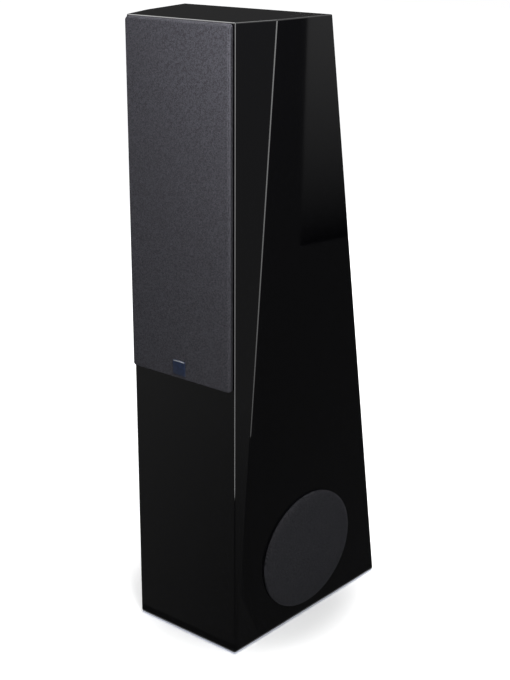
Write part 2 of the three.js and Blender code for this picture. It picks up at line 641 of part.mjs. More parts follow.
function addCrossover() {
  const floor = CAB_BOTTOM + WALL.bottom + GAP;
  const { w, d, t, y, leg, legR } = XOVER;
  let circuit = solid(block(w, d, floor + leg, floor + leg + t));
  for (const [sx, sy] of [[-1, -1], [1, -1], [-1, 1], [1, 1]]) {
    const post = cylinder(legR, floor, floor + leg + 1, 12).translate(sx * (w / 2 - 8), sy * (d / 2 - 8), 0);
    circuit = circuit.add(solid(post));
  }
  addPiece('crossover_board', geometryOf(circuit).translate(0, y, 0), FINISH.circuit);
  const top = floor + leg + t + GAP;
  const ring = [[COIL.bore, top], [COIL.r, top], [COIL.r, top + COIL.h], [COIL.bore, top + COIL.h]];
  addPiece('crossover_coil_left', turned(ring, 16, true).translate(-w / 4, y, 0), FINISH.copper);
  addPiece('crossover_coil_right', turned(ring, 16, true).translate(w / 4, y, 0), FINISH.copper);
  const can = new THREE.CylinderGeometry(CAPACITOR.r, CAPACITOR.r, CAPACITOR.l, 14);
  addPiece('crossover_capacitor', can.translate(0, y, top + CAPACITOR.r), FINISH.film);
}

function addWadding() {
  const bottom = SHELF_Z + BOARD_T + GAP;
  const body = convexBody([
    ...insideWalls(WADDING.clearance), flat(0, -1, 0, -WADDING.front), flat(0, 0, -1, -bottom), flat(0, 0, 1, bottom + WADDING.height)]);
  addPiece('damping_wadding', geometryOf(body), FINISH.wadding);
}

// ---- assembly --------------------------------------------------------------------------

addCabinet();
addInnerBoards();
addBase();
addConeDriver('midrange_upper', MIDRANGE, PLACE.midrangeUpper, 0);
addConeDriver('midrange_lower', MIDRANGE, PLACE.midrangeLower, 0);
addConeDriver('woofer_right', WOOFER, PLACE.wooferRight, WOOFER_RECESS);
addConeDriver('woofer_left', WOOFER, PLACE.wooferLeft, WOOFER_RECESS);
addTweeter();
addFrontGrille();
addDiscGrille('right', PLACE.wooferRight);
addDiscGrille('left', PLACE.wooferLeft);
addPort();
addTerminals();
addCrossover();
addWadding();

// The origin is on the floor, midway between the foremost and rearmost points.
speaker.updateMatrixWorld(true);
speaker.position.y = -new THREE.Box3().setFromObject(speaker, true).getCenter(new THREE.Vector3()).y;

export default speaker;
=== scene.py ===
"""Looks of a floorstanding three-way loudspeaker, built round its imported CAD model."""
import json
import math

import bmesh
import bpy
from mathutils import Matrix, Vector, noise

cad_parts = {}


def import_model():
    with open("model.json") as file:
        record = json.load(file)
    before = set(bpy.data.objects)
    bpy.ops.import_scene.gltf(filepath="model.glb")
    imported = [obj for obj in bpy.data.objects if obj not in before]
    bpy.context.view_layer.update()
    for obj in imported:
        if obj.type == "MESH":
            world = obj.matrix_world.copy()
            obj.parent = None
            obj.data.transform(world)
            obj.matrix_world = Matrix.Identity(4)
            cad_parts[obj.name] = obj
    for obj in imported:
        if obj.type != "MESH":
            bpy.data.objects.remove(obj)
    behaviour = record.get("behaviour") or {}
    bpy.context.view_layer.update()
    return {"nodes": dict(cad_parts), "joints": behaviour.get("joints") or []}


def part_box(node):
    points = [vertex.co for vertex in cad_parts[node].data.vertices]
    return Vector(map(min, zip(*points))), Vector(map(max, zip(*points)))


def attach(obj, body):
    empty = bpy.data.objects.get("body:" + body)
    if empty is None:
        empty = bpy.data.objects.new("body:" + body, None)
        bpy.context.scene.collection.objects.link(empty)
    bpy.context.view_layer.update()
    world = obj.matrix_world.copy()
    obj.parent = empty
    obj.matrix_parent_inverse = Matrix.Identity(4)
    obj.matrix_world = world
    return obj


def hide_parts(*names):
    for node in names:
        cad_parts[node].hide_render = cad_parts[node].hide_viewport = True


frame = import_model()
cad = frame["nodes"]
axis_of = {joint["name"]: Vector(joint["axis"]) for joint in frame["joints"]}
MM = 0.001
SPIN_STEPS = 96

# ---- small tools -----------------------------------------------------------------------


def linear(hex_colour):
    """An sRGB hex value as a linear colour with alpha."""
    parts = [int(hex_colour[i:i + 2], 16) / 255 for i in (1, 3, 5)]
    return [c / 12.92 if c <= 0.04045 else ((c + 0.055) / 1.055) ** 2.4 for c in parts] + [1.0]


def add_node(tree, kind, inputs=None, **settings):
    """Adds a node with its settings. An input is a socket to link or a value."""
    made = tree.nodes.new(kind)
    for key, value in settings.items():
        setattr(made, key, value)
    for key, value in (inputs or {}).items():
        if isinstance(value, bpy.types.NodeSocket):
            tree.links.new(value, made.inputs[key])
        else:
            made.inputs[key].default_value = value
    return made


def new_material(name, hex_colour, roughness, metallic=0.0, **sockets):
    """A material with its own shader, and object coordinates to build a pattern on."""
    material = bpy.data.materials.new(name)
    material.use_nodes = True
    tree = material.node_tree
    tree.nodes.clear()
    shader = add_node(tree, "ShaderNodeBsdfPrincipled", {
        "Base Color": linear(hex_colour), "Roughness": roughness, "Metallic": metallic,
        **{key.replace("_", " "): value for key, value in sockets.items()}})
    add_node(tree, "ShaderNodeOutputMaterial", {"Surface": shader.outputs[0]})
    place = add_node(tree, "ShaderNodeTexCoord").outputs["Object"]
    return material, tree, shader, place


def bump(tree, shader, height, depth):
    """Raises the surface by the height pattern, depth in metres."""
    made = add_node(tree, "ShaderNodeBump", {"Height": height, "Distance": depth, "Strength": 1.0})
    tree.links.new(made.outputs[0], shader.inputs["Normal"])


def tinted(tree, shader, pattern, dark, light, low=0.3, high=0.7):
    """Runs the base colour between two hex values by a pattern."""
    spread = add_node(tree, "ShaderNodeMapRange", {"Value": pattern, "From Min": low, "From Max": high})
    ends = {0: spread.outputs[0], 6: linear(dark), 7: linear(light)}
    mix = add_node(tree, "ShaderNodeMix", ends, data_type="RGBA")
    tree.links.new(mix.outputs[2], shader.inputs["Base Color"])


def speckle(tree, place, size, detail=2.0, stretch=(1, 1, 1)):
    """A noise whose grains are about size metres, longer where stretch is small."""
    mapping = add_node(tree, "ShaderNodeMapping", {"Vector": place, "Scale": stretch})
    return add_node(tree, "ShaderNodeTexNoise", {
        "Vector": mapping.outputs[0], "Scale": 1 / size, "Detail": detail, "Roughness": 0.55}).outputs[0]


def placed(bm, place):
    """The bmesh, moved and turned by a matrix."""
    bmesh.ops.transform(bm, matrix=place, verts=bm.verts)
    return bm


def moved(bm, offset):
    """The bmesh, shifted by an offset in millimetres."""
    bmesh.ops.translate(bm, vec=[c * MM for c in offset], verts=bm.verts)
    return bm


def added(name, bm, material):
    """Turns a bmesh into an object of the scene."""
    mesh = bpy.data.meshes.new(name)
    bm.to_mesh(mesh)
    bm.free()
    mesh.materials.append(material)
    made = bpy.data.objects.new(name, mesh)
    bpy.context.scene.collection.objects.link(made)
    return made


def finished(name, bm, material, body, *replaced, sharp=35, place=None):
    """Turns a bmesh into a piece that rides on a body and stands for CAD nodes."""
    if place is not None:
        placed(bm, place)
    piece = added(name, bm, material)
    piece.data.shade_smooth()
    piece.data.set_sharp_from_angle(angle=math.radians(sharp))
    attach(piece, body)
    if replaced:
        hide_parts(*replaced)
    return piece


def spun(outline, closed=True, steps=SPIN_STEPS):
    """A round solid about local Z from its [radius, height] outline in millimetres."""
    bm = bmesh.new()
    verts = [bm.verts.new((r * MM, 0, z * MM)) for r, z in outline]
    pairs = list(zip(verts, verts[1:])) + ([(verts[-1], verts[0])] if closed else [])
    edges = [bm.edges.new(pair) for pair in pairs]
    bmesh.ops.spin(
        bm, geom=verts + edges, axis=(0, 0, 1), cent=(0, 0, 0), angle=math.tau, steps=steps, use_merge=True)
    bmesh.ops.remove_doubles(bm, verts=bm.verts, dist=1e-6)
    bmesh.ops.dissolve_degenerate(bm, edges=bm.edges, dist=1e-7)
    bmesh.ops.recalc_face_normals(bm, faces=bm.faces)
    return bm


def arc(centre, radius, start, end, steps=6, squash=1.0):
    """Points of an arc in the [radius, height] plane, angles in degrees."""
    turns = [math.radians(start + (end - start) * i / steps) for i in range(steps + 1)]
    return [(centre[0] + radius * math.cos(t), centre[1] + radius * squash * math.sin(t)) for t in turns]


def joined(*parts):
    """Several bmeshes in one."""
    whole = bmesh.new()
    for part in parts:
        mesh = bpy.data.meshes.new("part")
        part.to_mesh(mesh)
        part.free()
        whole.from_mesh(mesh)
        bpy.data.meshes.remove(mesh)
    return whole


def brick(centre, size):
    """A block, its centre and size in metres."""
    bm = bmesh.new()
    place = Matrix.Translation(centre) @ Matrix.Diagonal((*size, 1))
    bmesh.ops.create_cube(bm, size=1.0, matrix=place)
    return bm


def rounded(bm, edges, radius, segments=3, **settings):
    """Rounds edges of the bmesh, radius in metres."""
    bmesh.ops.bevel(
        bm, geom=edges, offset=radius, segments=segments, profile=0.5, affect="EDGES", material=-1, **settings)


def edges_along(bm, axis, least):
    """The edges that run more than least metres along an axis, 0 to 2."""
    return [e for e in bm.edges if abs(e.verts[0].co[axis] - e.verts[1].co[axis]) > least]


def seat(node, outward):
    """A CAD node's place: +Z outward and +Y up.

    The origin is level with the node's foremost point, over the average of its vertices."""
    points = [v.co for v in cad[node].data.vertices]
    centre = sum(points, Vector()) / len(points)
    reach = max(p.dot(outward) for p in points)
    origin = centre + outward * (reach - centre.dot(outward))
    right = Vector((0, 0, 1)).cross(outward).normalized()
    up = outward.cross(right)
    return Matrix.Translation(origin) @ Matrix((right, up, outward)).transposed().to_4x4()


# ---- materials -------------------------------------------------------------------------


def polyester_lacquer():
    """Piano black lacquer: near-black, mirror smooth, faint orange peel 6 mm across."""
    material, tree, shader, place = new_material("polyester_lacquer", "#060608", 0.035, Specular_IOR_Level=0.5)
    bump(tree, shader, speckle(tree, place, 6 * MM, 1.0), 0.002 * MM)
    wipe = add_node(tree, "ShaderNodeMapRange", {
        "Value": speckle(tree, place, 90 * MM, 3.0), "To Min": 0.03, "To Max": 0.05})
    tree.links.new(wipe.outputs[0], shader.inputs["Roughness"])
    return material


def grille_cloth(name, across, dark, light):
    """Open polyester weave. The threads are 0.5 mm apart on a real one, drawn 1.8 mm apart to show."""
    pitch = 1.8 * MM
    material, tree, shader, place = new_material(
        name, "#3c3c42", 0.9, Specular_IOR_Level=0.1, Sheen_Weight=0.05, Sheen_Roughness=0.4,
        Sheen_Tint=linear("#9a9cb0"))
    scale = bands_scale(pitch)
    warp = add_node(tree, "ShaderNodeTexWave", {
        "Vector": place, "Scale": scale, "Distortion": 0.6, "Detail": 1.0}, bands_direction=across)
    weft = add_node(tree, "ShaderNodeTexWave", {
        "Vector": place, "Scale": scale, "Distortion": 0.6, "Detail": 1.0}, bands_direction="Z")
    crossing = {0: warp.outputs["Fac"], 1: weft.outputs["Fac"]}
    threads = add_node(tree, "ShaderNodeMath", crossing, operation="MULTIPLY")
    slubs = speckle(tree, place, 2.2 * MM, 3.0)
    pattern = add_node(tree, "ShaderNodeMath", {0: threads.outputs[0], 1: slubs}, operation="ADD")
    tinted(tree, shader, pattern.outputs[0], dark, light, 0.42, 1.0)
    bump(tree, shader, threads.outputs[0], 0.25 * MM)
    return material


def bands_scale(pitch):
    """The scale at which a wave texture's bands lie pitch metres apart."""
    return math.tau / (20 * pitch)


def anodised_aluminium():
    """Satin anodised aluminium, brushed along its length: pale grey, fine streaks."""
    material, tree, shader, place = new_material("anodised_aluminium", "#b9bcc6", 0.3, 1.0)
    streaks = speckle(tree, place, 0.8 * MM, 2.0, (0.05, 0.05, 1))
    tinted(tree, shader, streaks, "#adb0bc", "#c6c9d2")
    bump(tree, shader, streaks, 0.01 * MM)
    return material


def rubber(name, colour, grain):
    """Moulded rubber: dull black with a fine matt grain."""
    material, tree, shader, place = new_material(name, colour, 0.72, Specular_IOR_Level=0.35)
    grains = speckle(tree, place, grain)
    tinted(tree, shader, grains, colour, "#1c1c1d")
    bump(tree, shader, grains, 0.03 * MM)
    return material


def moulded_abs(name, colour, light, roughness):
    """Injection moulded ABS with a spark-eroded texture about 0.6 mm across."""
    material, tree, shader, place = new_material(name, colour, roughness, Specular_IOR_Level=0.4)
    grains = speckle(tree, place, 0.6 * MM)
    tinted(tree, shader, grains, colour, light)
    bump(tree, shader, grains, 0.02 * MM)
    return material


def powder_coat():
    """Cast aluminium basket, powder coated satin black with a fine leathery grain."""
    material, tree, shader, place = new_material("powder_coat", "#1d1e20", 0.45, Specular_IOR_Level=0.5)
    grains = speckle(tree, place, 1.2 * MM, 3.0)
    tinted(tree, shader, grains, "#18191b", "#26272a")
    bump(tree, shader, grains, 0.04 * MM)
    return material


def filled_polypropylene():
    """Cone of mineral-filled polypropylene: graphite grey with small bright flakes."""
    material, tree, shader, place = new_material("filled_polypropylene", "#2a2c30", 0.42, Specular_IOR_Level=0.5)
    flakes = speckle(tree, place, 1.0 * MM, 4.0)
    tinted(tree, shader, flakes, "#232529", "#3d4047", 0.45, 0.7)
    bump(tree, shader, flakes, 0.02 * MM)
    return material


def drawn_metal(name, dark, light, roughness):
    """Pressed or plated metal with faint drawing marks."""
    material, tree, shader, place = new_material(name, light, roughness, 1.0)
    marks = speckle(tree, place, 2 * MM, 3.0)
    tinted(tree, shader, marks, dark, light)
    bump(tree, shader, marks, 0.008 * MM)
    return material


def ferrite():
    """Ferrite magnet and zinc plates: dull dark grey, slightly rough."""
    material, tree, shader, place = new_material("ferrite", "#2c2d30", 0.6, 0.3)
    grains = speckle(tree, place, 1.5 * MM, 4.0)
    tinted(tree, shader, grains, "#242527", "#3a3b3f")
    bump(tree, shader, grains, 0.05 * MM)
    return material


def enamel_badge():
    """Dark blue enamel on the badge, a little uneven."""
    material, tree, shader, place = new_material("badge_enamel", "#25304a", 0.3, Specular_IOR_Level=0.5)
    clouds = speckle(tree, place, 5 * MM)
    tinted(tree, shader, clouds, "#1f2940", "#2c3a5a")
    bump(tree, shader, clouds, 0.02 * MM)
    return material


def fibreboard():
    """Raw medium-density fibreboard: brown, even, with short fibres."""
    material, tree, shader, place = new_material("fibreboard", "#8a7458", 0.85)
    fibres = speckle(tree, place, 1.5 * MM, 5.0, (1, 0.4, 1))
    tinted(tree, shader, fibres, "#7a6549", "#9c8464")
    bump(tree, shader, fibres, 0.08 * MM)
    return material


def glass_epoxy():
    """Crossover board: green glass-epoxy laminate with its cloth just showing."""
    material, tree, shader, place = new_material("glass_epoxy", "#2d4a33", 0.45)
    cloth = add_node(tree, "ShaderNodeTexBrick", {"Vector": place, "Scale": 1 / (1.6 * MM)}).outputs["Fac"]
    tinted(tree, shader, cloth, "#284430", "#35563c")
    return material


def wound_copper():
    """Enamelled copper wire of a coil, 1.2 mm turns lying side by side."""
    material, tree, shader, place = new_material("wound_copper", "#b06a3c", 0.32, 0.9)
    turns = add_node(tree, "ShaderNodeTexWave", {
        "Vector": place, "Scale": bands_scale(1.2 * MM)}, bands_direction="Z").outputs["Fac"]
    tinted(tree, shader, turns, "#8c4f2a", "#c27a4a")
    bump(tree, shader, turns, 0.3 * MM)
    return material


def polyester_wadding():
    """White polyester wadding: matted fibre, soft edged."""
    material, tree, shader, place = new_material("polyester_wadding", "#dddcd6", 0.95, Sheen_Weight=0.4)
    fibres = speckle(tree, place, 4 * MM, 6.0)
    tinted(tree, shader, fibres, "#c9c8c2", "#e9e8e4")
    bump(tree, shader, fibres, 0.8 * MM)
    return material


LACQUER = polyester_lacquer()
CLOTH_FRONT = grille_cloth("grille_cloth_front", "X", "#141416", "#626169")
# The side disc's copy of the grille cloth has darker colours than the front one: painted shade on the side disc.
CLOTH_DISC_SHADED = grille_cloth("grille_cloth_side_shaded", "Y", "#121214", "#414146")
ALUMINIUM = anodised_aluminium()
PAD_RUBBER = rubber("pad_rubber", "#0f0f10", 1.5 * MM)
ROLL_RUBBER = rubber("nitrile_rubber", "#121213", 0.8 * MM)
FRAME_ABS = moulded_abs("frame_abs", "#141416", "#1e1e21", 0.6)
PLATE_ABS = moulded_abs("faceplate_abs", "#161719", "#222326", 0.45)
PORT_ABS = moulded_abs("port_abs", "#0f1012", "#191a1d", 0.42)
KNOB_ABS = moulded_abs("knob_abs", "#1b1b1d", "#2a2a2d", 0.35)
RED_ABS = moulded_abs("red_band_abs", "#8e1418", "#a82024", 0.35)
BASKET_COAT = powder_coat()
CONE_PLASTIC = filled_polypropylene()
FERRITE = ferrite()
TITANIUM = drawn_metal("titanium_dome", "#6d7075", "#8f9298", 0.3)
GOLD = drawn_metal("gold_plate", "#b88f3a", "#d8b25a", 0.22)
SCREW_STEEL = drawn_metal("black_zinc_steel", "#1c1d1f", "#303236", 0.35)
SILVER = drawn_metal("satin_silver", "#b4b7bd", "#d2d5da", 0.3)
BADGE_ENAMEL = enamel_badge()
BOARD = fibreboard()
LAMINATE = glass_epoxy()
COPPER = wound_copper()
FILM = moulded_abs("film_wrap", "#8a2620", "#a8352c", 0.3)
WADDING = polyester_wadding()

# ---- cabinet ---------------------------------------------------------------------------

WALLS = {"front": 25 * MM, "side": 22 * MM, "back": 19 * MM, "top": 19 * MM, "bottom": 22 * MM}
EDGE_ROUND = 2.0 * MM
PANELS = ["front_baffle", "side_panel_right", "side_panel_left", "back_panel", "top_panel", "bottom_panel"]
LEAST_FACE = 0.008  # square metres: a smaller face is the edge of a hole or a rebate
FACE_GROUPS = 20  # faces within 0.5 mm of a plane count as one, since distances are rounded to 2 places
REBATE_GAP = 0.3  # mm round and behind a flange


def outer_planes():
    """The cabinet's outer planes as (point, normal): large panel faces with nothing in front."""
    corners = [v.co for panel in PANELS for v in cad[panel].data.vertices]
    planes = []
    for panel in PANELS:
        areas = {}
        for face in cad[panel].data.polygons:
            key = tuple(round(c, 2) for c in (*face.normal, face.center.dot(face.normal) * FACE_GROUPS))
            area, point, normal = areas.get(key, (0, face.center.copy(), face.normal.copy()))
            areas[key] = (area + face.area, point, normal)
        for area, point, normal in areas.values():
            reach = max(corner.dot(normal) for corner in corners)
            if area > LEAST_FACE and reach - point.dot(normal) < 0.5 * MM:
                planes.append((point, normal))
    return planes


def carved(planes):
    """A big block cut down by planes."""
    bm = bmesh.new()
    bmesh.ops.create_cube(bm, size=4)
    for point, normal in planes:
        geometry = bm.verts[:] + bm.edges[:] + bm.faces[:]
        cut = bmesh.ops.bisect_plane(bm, geom=geometry, plane_co=point, plane_no=normal, clear_outer=True)
        edges = [item for item in cut["geom_cut"] if isinstance(item, bmesh.types.BMEdge)]
        bmesh.ops.contextual_create(bm, geom=edges)
    bmesh.ops.remove_doubles(bm, verts=bm.verts, dist=0.05 * MM)
    bmesh.ops.recalc_face_normals(bm, faces=bm.faces)
    return bm


def wall_behind(normal):
    """The thickness of the wall that faces along normal."""
    if abs(normal.z) > 0.9:
        return WALLS["top"] if normal.z > 0 else WALLS["bottom"]
    if abs(normal.y) > 0.9:
        return WALLS["front"] if normal.y < 0 else WALLS["back"]
    return WALLS["side"]


def pocket(flange, rebate, hole, through=60):
    """The cut for a drive unit, in millimetres: a rebate for its flange and a hole behind."""
    flange, rebate = flange + REBATE_GAP, rebate + REBATE_GAP
    outline = [(0, -through), (hole, -through), (hole, -rebate), (flange, -rebate), (flange, 20), (0, 20)]
    return spun(outline, False)


def bore(radius, back, front, steps=SPIN_STEPS):
    """A plain round cut between two levels, in millimetres."""
    return spun([(0, back), (radius, back), (radius, front), (0, front)], False, steps)


def cut_away(piece, cutters):
    """Cuts each bmesh out of the piece and keeps the finished mesh."""
    helpers = []
    for i, cutter in enumerate(cutters):
        mesh = bpy.data.meshes.new(f"cutter_{i}")
        cutter.to_mesh(mesh)
        cutter.free()
        helper = bpy.data.objects.new(f"cutter_{i}", mesh)
        bpy.context.scene.collection.objects.link(helper)
        piece.modifiers.new(f"cut_{i}", "BOOLEAN").object = helper
        helpers.append(helper)
    mesh = bpy.data.meshes.new_from_object(piece.evaluated_get(bpy.context.evaluated_depsgraph_get()))
    piece.modifiers.clear()
    piece.data = mesh
    mesh.shade_smooth()
    mesh.set_sharp_from_angle(angle=math.radians(40))
    weighted = piece.modifiers.new("flat_faces_lead", "WEIGHTED_NORMAL")
    weighted.keep_sharp, weighted.weight = True, 100
    for helper in helpers:
        bpy.data.objects.remove(helper)


FRONT = Vector((0, -1, 0))
BACK = axis_of["post_1_travel"]
SIDES = {side: axis_of[f"woofer_{side}_stroke"] for side in ("right", "left")}
MIDRANGE_SEATS = {unit: seat(f"midrange_{unit}_basket", FRONT) for unit in ("upper", "lower")}
TWEETER_SEAT = seat("tweeter_plate", FRONT)
WOOFER_SEATS = {side: seat(f"woofer_{side}_basket", outward) for side, outward in SIDES.items()}
TERMINAL_SEAT = seat("terminal_plate", BACK)
PORT_SEAT = seat("port_tube", BACK)


def unit_pocket(s):
    """The cut for a cone driver."""
    return pocket(s["flange"], s["flange_t"], s["cut"])


def cabinet():
    """The lacquered shell in one piece, hollow, with its openings."""
    planes = outer_planes()
    block = carved(planes)
    hollow = carved([(point - normal * wall_behind(normal), normal) for point, normal in planes])
    rounded(block, block.edges[:], EDGE_ROUND, 4, clamp_overlap=False)
    piece = finished("cabinet_lacquer", block, LACQUER, "cabinet", *PANELS, sharp=28)
    cutters = [hollow]
    cutters += [placed(unit_pocket(MIDRANGE), place) for place in MIDRANGE_SEATS.values()]
    cutters.append(placed(pocket(TWEETER_R, 6, 40), TWEETER_SEAT))
    cutters += [placed(unit_pocket(WOOFER), place) for place in WOOFER_SEATS.values()]
    cutters.append(placed(bore(PORT_OUTER + REBATE_GAP, -60, 20), PORT_SEAT))
    cutters.append(placed(brick((0, 0, 0), (0.084, 0.060, 0.12)), TERMINAL_SEAT))
    cut_away(piece, cutters)


# ---- base ------------------------------------------------------------------------------


def plinth():
    """The aluminium strip under the cabinet, its edges broken by half a millimetre."""
    bm = bmesh.new()
    bm.from_mesh(cad["plinth_plate"].data)
    bmesh.ops.remove_doubles(bm, verts=bm.verts, dist=0.01 * MM)
    bmesh.ops.dissolve_limit(
        bm, angle_limit=math.radians(1), use_dissolve_boundaries=False, verts=bm.verts, edges=bm.edges)
    rims = [e for e in bm.edges if e.calc_face_angle(0) > math.radians(60)]
    rounded(bm, rims, 0.5 * MM)
    finished("plinth_strip", bm, ALUMINIUM, "cabinet", "plinth_plate")


def foot_pads():
    """Four round rubber pads, their edges broken."""
    edge = 0.5
    for spot in ("front_right", "back_right", "back_left", "front_left"):
        node = f"foot_pad_{spot}"
        low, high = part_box(node)
        radius, height = (high.x - low.x) / 2 / MM, (high.z - low.z) / MM
        outline = [
            (0, 0), (radius - edge, 0), (radius, edge), (radius, height - edge),
            (radius - edge, height), (0, height)]
        place = Matrix.Translation(((low.x + high.x) / 2, (low.y + high.y) / 2, low.z))
        finished(f"rubber_{spot}", spun(outline, False, 48), PAD_RUBBER, "cabinet", node, place=place)


# ---- drive units -----------------------------------------------------------------------

# All in millimetres.
MIDRANGE = {
    "flange": 82, "flange_t": 4, "cut": 73, "seat": 72, "seat_t": 2, "lip": 66, "roll": 10, "skirt": 5,
    "rim": 4, "cone": 20, "coil": 16, "coil_l": 16, "cap": 7, "depth": 46, "wall": 2.5, "magnet": 42, "magnet_h": 24,
    "screws": 6,
}
WOOFER = {
    "flange": 104, "flange_t": 5, "cut": 93, "seat": 92, "seat_t": 2, "lip": 85, "roll": 13, "skirt": 8,
    "rim": 5, "cone": 26, "coil": 24, "coil_l": 22, "cap": 11, "depth": 60, "wall": 3, "magnet": 56, "magnet_h": 32,
    "screws": 8,
}
COIL_GAP = 1.5
GLUE = 0.3
SKIN = 1.0
CONE_T = 1.4
TWEETER_R = 52


def basket_outline(s):
    """The cast basket: flange, surround's seat, and a bowl narrowing to the magnet."""
    neck = s["magnet"] * 0.9
    hole = s["coil"] + SKIN + COIL_GAP + 1
    shoulder = -s["flange_t"] - 8
    return [
        (hole, -s["depth"]), (neck, -s["depth"]), (s["cut"] - 0.6, shoulder), (s["cut"] - 0.6, -s["flange_t"]),
        (s["flange"] - 0.4, -s["flange_t"]), (s["flange"], -s["flange_t"] + 0.4),
        *arc((s["flange"] - 1.4, -1.4), 1.4, 0, 90, 4), (s["seat"] + 0.5, 0), (s["seat"], -0.5),
        (s["seat"], -s["seat_t"]), (s["lip"], -s["seat_t"]), (s["lip"], shoulder),
        (neck - s["wall"], -s["depth"] + s["wall"]), (hole, -s["depth"] + s["wall"])]


def roll_outline(s):
    """The half roll, its outer lip on the basket and the skirt that the cone's rim slides along."""
    back = -s["seat_t"] + GLUE
    front = back + SKIN
    outer = s["lip"] + 1
    centre, inner = outer - s["roll"] / 2, outer - s["roll"]
    return [
        (inner, back - s["skirt"]), (inner + SKIN, back - s["skirt"]),
        *arc((centre, back), s["roll"] / 2 - SKIN, 180, 0, 12, 0.75), (s["seat"] - GLUE, back),
        (s["seat"] - GLUE, front - 0.3), (s["seat"] - GLUE - 0.3, front),
        *arc((centre, front), s["roll"] / 2, 0, 180, 14, 0.75)]


def cone_outline(s):
    """Slightly flared cone, domed dust cap and the coil former behind it."""
    rim = s["lip"] + 1 - s["roll"] - GLUE
    flat = rim - s["rim"]
    front = -s["seat_t"]
    neck = front - s["cone"]
    outer = s["coil"] + SKIN
    fractions = [i / 10 for i in range(1, 10)]

    def flare(f, drop):
        """Height of the cone's face a fraction f of the way out from the cap."""
        return neck + CONE_T + (front - neck - CONE_T) * (f + 0.12 * f * (f - 1)) - drop

    face = [(outer + 1 + (flat - outer - 1) * f, flare(f, 0)) for f in reversed(fractions)]
    rear = [(outer + 1 + (flat - outer - 1) * f, flare(f, CONE_T)) for f in fractions]
    crown = neck + CONE_T
    cap = [(outer * f, crown + s["cap"] * (1 - f * f)) for f in reversed(fractions)]
    under = [(s["coil"] * f, crown - SKIN + s["cap"] * (1 - f * f)) for f in fractions]
    return [
        (0, crown + s["cap"] - SKIN), *under, (s["coil"], neck), (s["coil"], neck - s["coil_l"]),
        (outer, neck - s["coil_l"]), (outer, neck - CONE_T), *rear, (flat, front - CONE_T - 0.4),
        (rim, front - CONE_T), (rim, front), (flat, front), *face, (outer + 1, crown), (outer, crown),
        *cap, (0, crown + s["cap"])]


def magnet_outline(s):
    """Magnet and plates, with the slot that the coil moves in."""
    top = -s["depth"] - GLUE
    bottom = top - s["magnet_h"]
    floor = bottom + 5
    gap, pole = s["coil"] + SKIN + COIL_GAP, s["coil"] - COIL_GAP
    return [
        (0, bottom), (s["magnet"] - 1.5, bottom), (s["magnet"], bottom + 1.5), (s["magnet"], top - 7),
        (s["magnet"] - 2, top - 6.5), (s["magnet"] - 2, top - 0.5), (s["magnet"] - 2.5, top), (gap, top),
        (gap, floor), (pole, floor), (pole, top), (0, top)]


def screw_head(radius=3.4, height=1.8, socket=1.6, socket_floor=0.6):
    """A round head with a six-sided socket, its seat at height 0."""
    bm = bmesh.new()
    bmesh.ops.create_circle(bm, cap_ends=True, radius=socket * MM, segments=6)
    bmesh.ops.translate(bm, vec=(0, 0, socket_floor * MM), verts=bm.verts)
    wall = bmesh.ops.extrude_edge_only(bm, edges=bm.edges[:])
    rim = [item for item in wall["geom"] if isinstance(item, bmesh.types.BMVert)]
    bmesh.ops.translate(bm, vec=(0, 0, (height - socket_floor) * MM), verts=rim)
    loops = [e for e in bm.edges if e.is_boundary]
    shoulders = ((radius * 0.72, height), (radius * 0.93, height * 0.8), (radius, height * 0.5), (radius, 0.0))
    for ring, level in shoulders:
        grown = bmesh.ops.extrude_edge_only(bm, edges=loops)
        verts = [item for item in grown["geom"] if isinstance(item, bmesh.types.BMVert)]
        for vert in verts:
            flat = Vector((vert.co.x, vert.co.y, 0)).normalized() * ring * MM
            vert.co = (flat.x, flat.y, level * MM)
        loops = [item for item in grown["geom"] if isinstance(item, bmesh.types.BMEdge) and item.is_boundary]
    bmesh.ops.holes_fill(bm, edges=loops)
    bmesh.ops.recalc_face_normals(bm, faces=bm.faces)
    return bm


SCREW_LEVEL = 0.05  # the seat of a screw's head above the face it holds


def screw_circle(count, radius):
    """Screw heads evenly round a circle, none of them straight out along X."""
    turns = [math.tau * (i + 0.5) / count for i in range(count)]
    spots = [(radius * math.cos(t), radius * math.sin(t), SCREW_LEVEL) for t in turns]
    return joined(*[moved(screw_head(), spot) for spot in spots])


def cone_driver(name, s, place, cone_body):
    """A midrange or woofer: basket, roll, cone with its cap and coil, motor and screws."""
    basket, roll = spun(basket_outline(s)), spun(roll_outline(s))
    cone, magnet = spun(cone_outline(s), False), spun(magnet_outline(s), False)
    finished(f"{name}_chassis", basket, BASKET_COAT, "cabinet", f"{name}_basket", place=place)
    finished(f"{name}_roll", roll, ROLL_RUBBER, "cabinet", f"{name}_surround", place=place)
    finished(f"{name}_cone_and_cap", cone, CONE_PLASTIC, cone_body, f"{name}_cone", place=place)
    finished(f"{name}_motor", magnet, FERRITE, "cabinet", f"{name}_magnet", place=place)
    ring = (s["flange"] + s["seat"]) / 2
    finished(f"{name}_screws", screw_circle(s["screws"], ring), SCREW_STEEL, "cabinet", place=place)


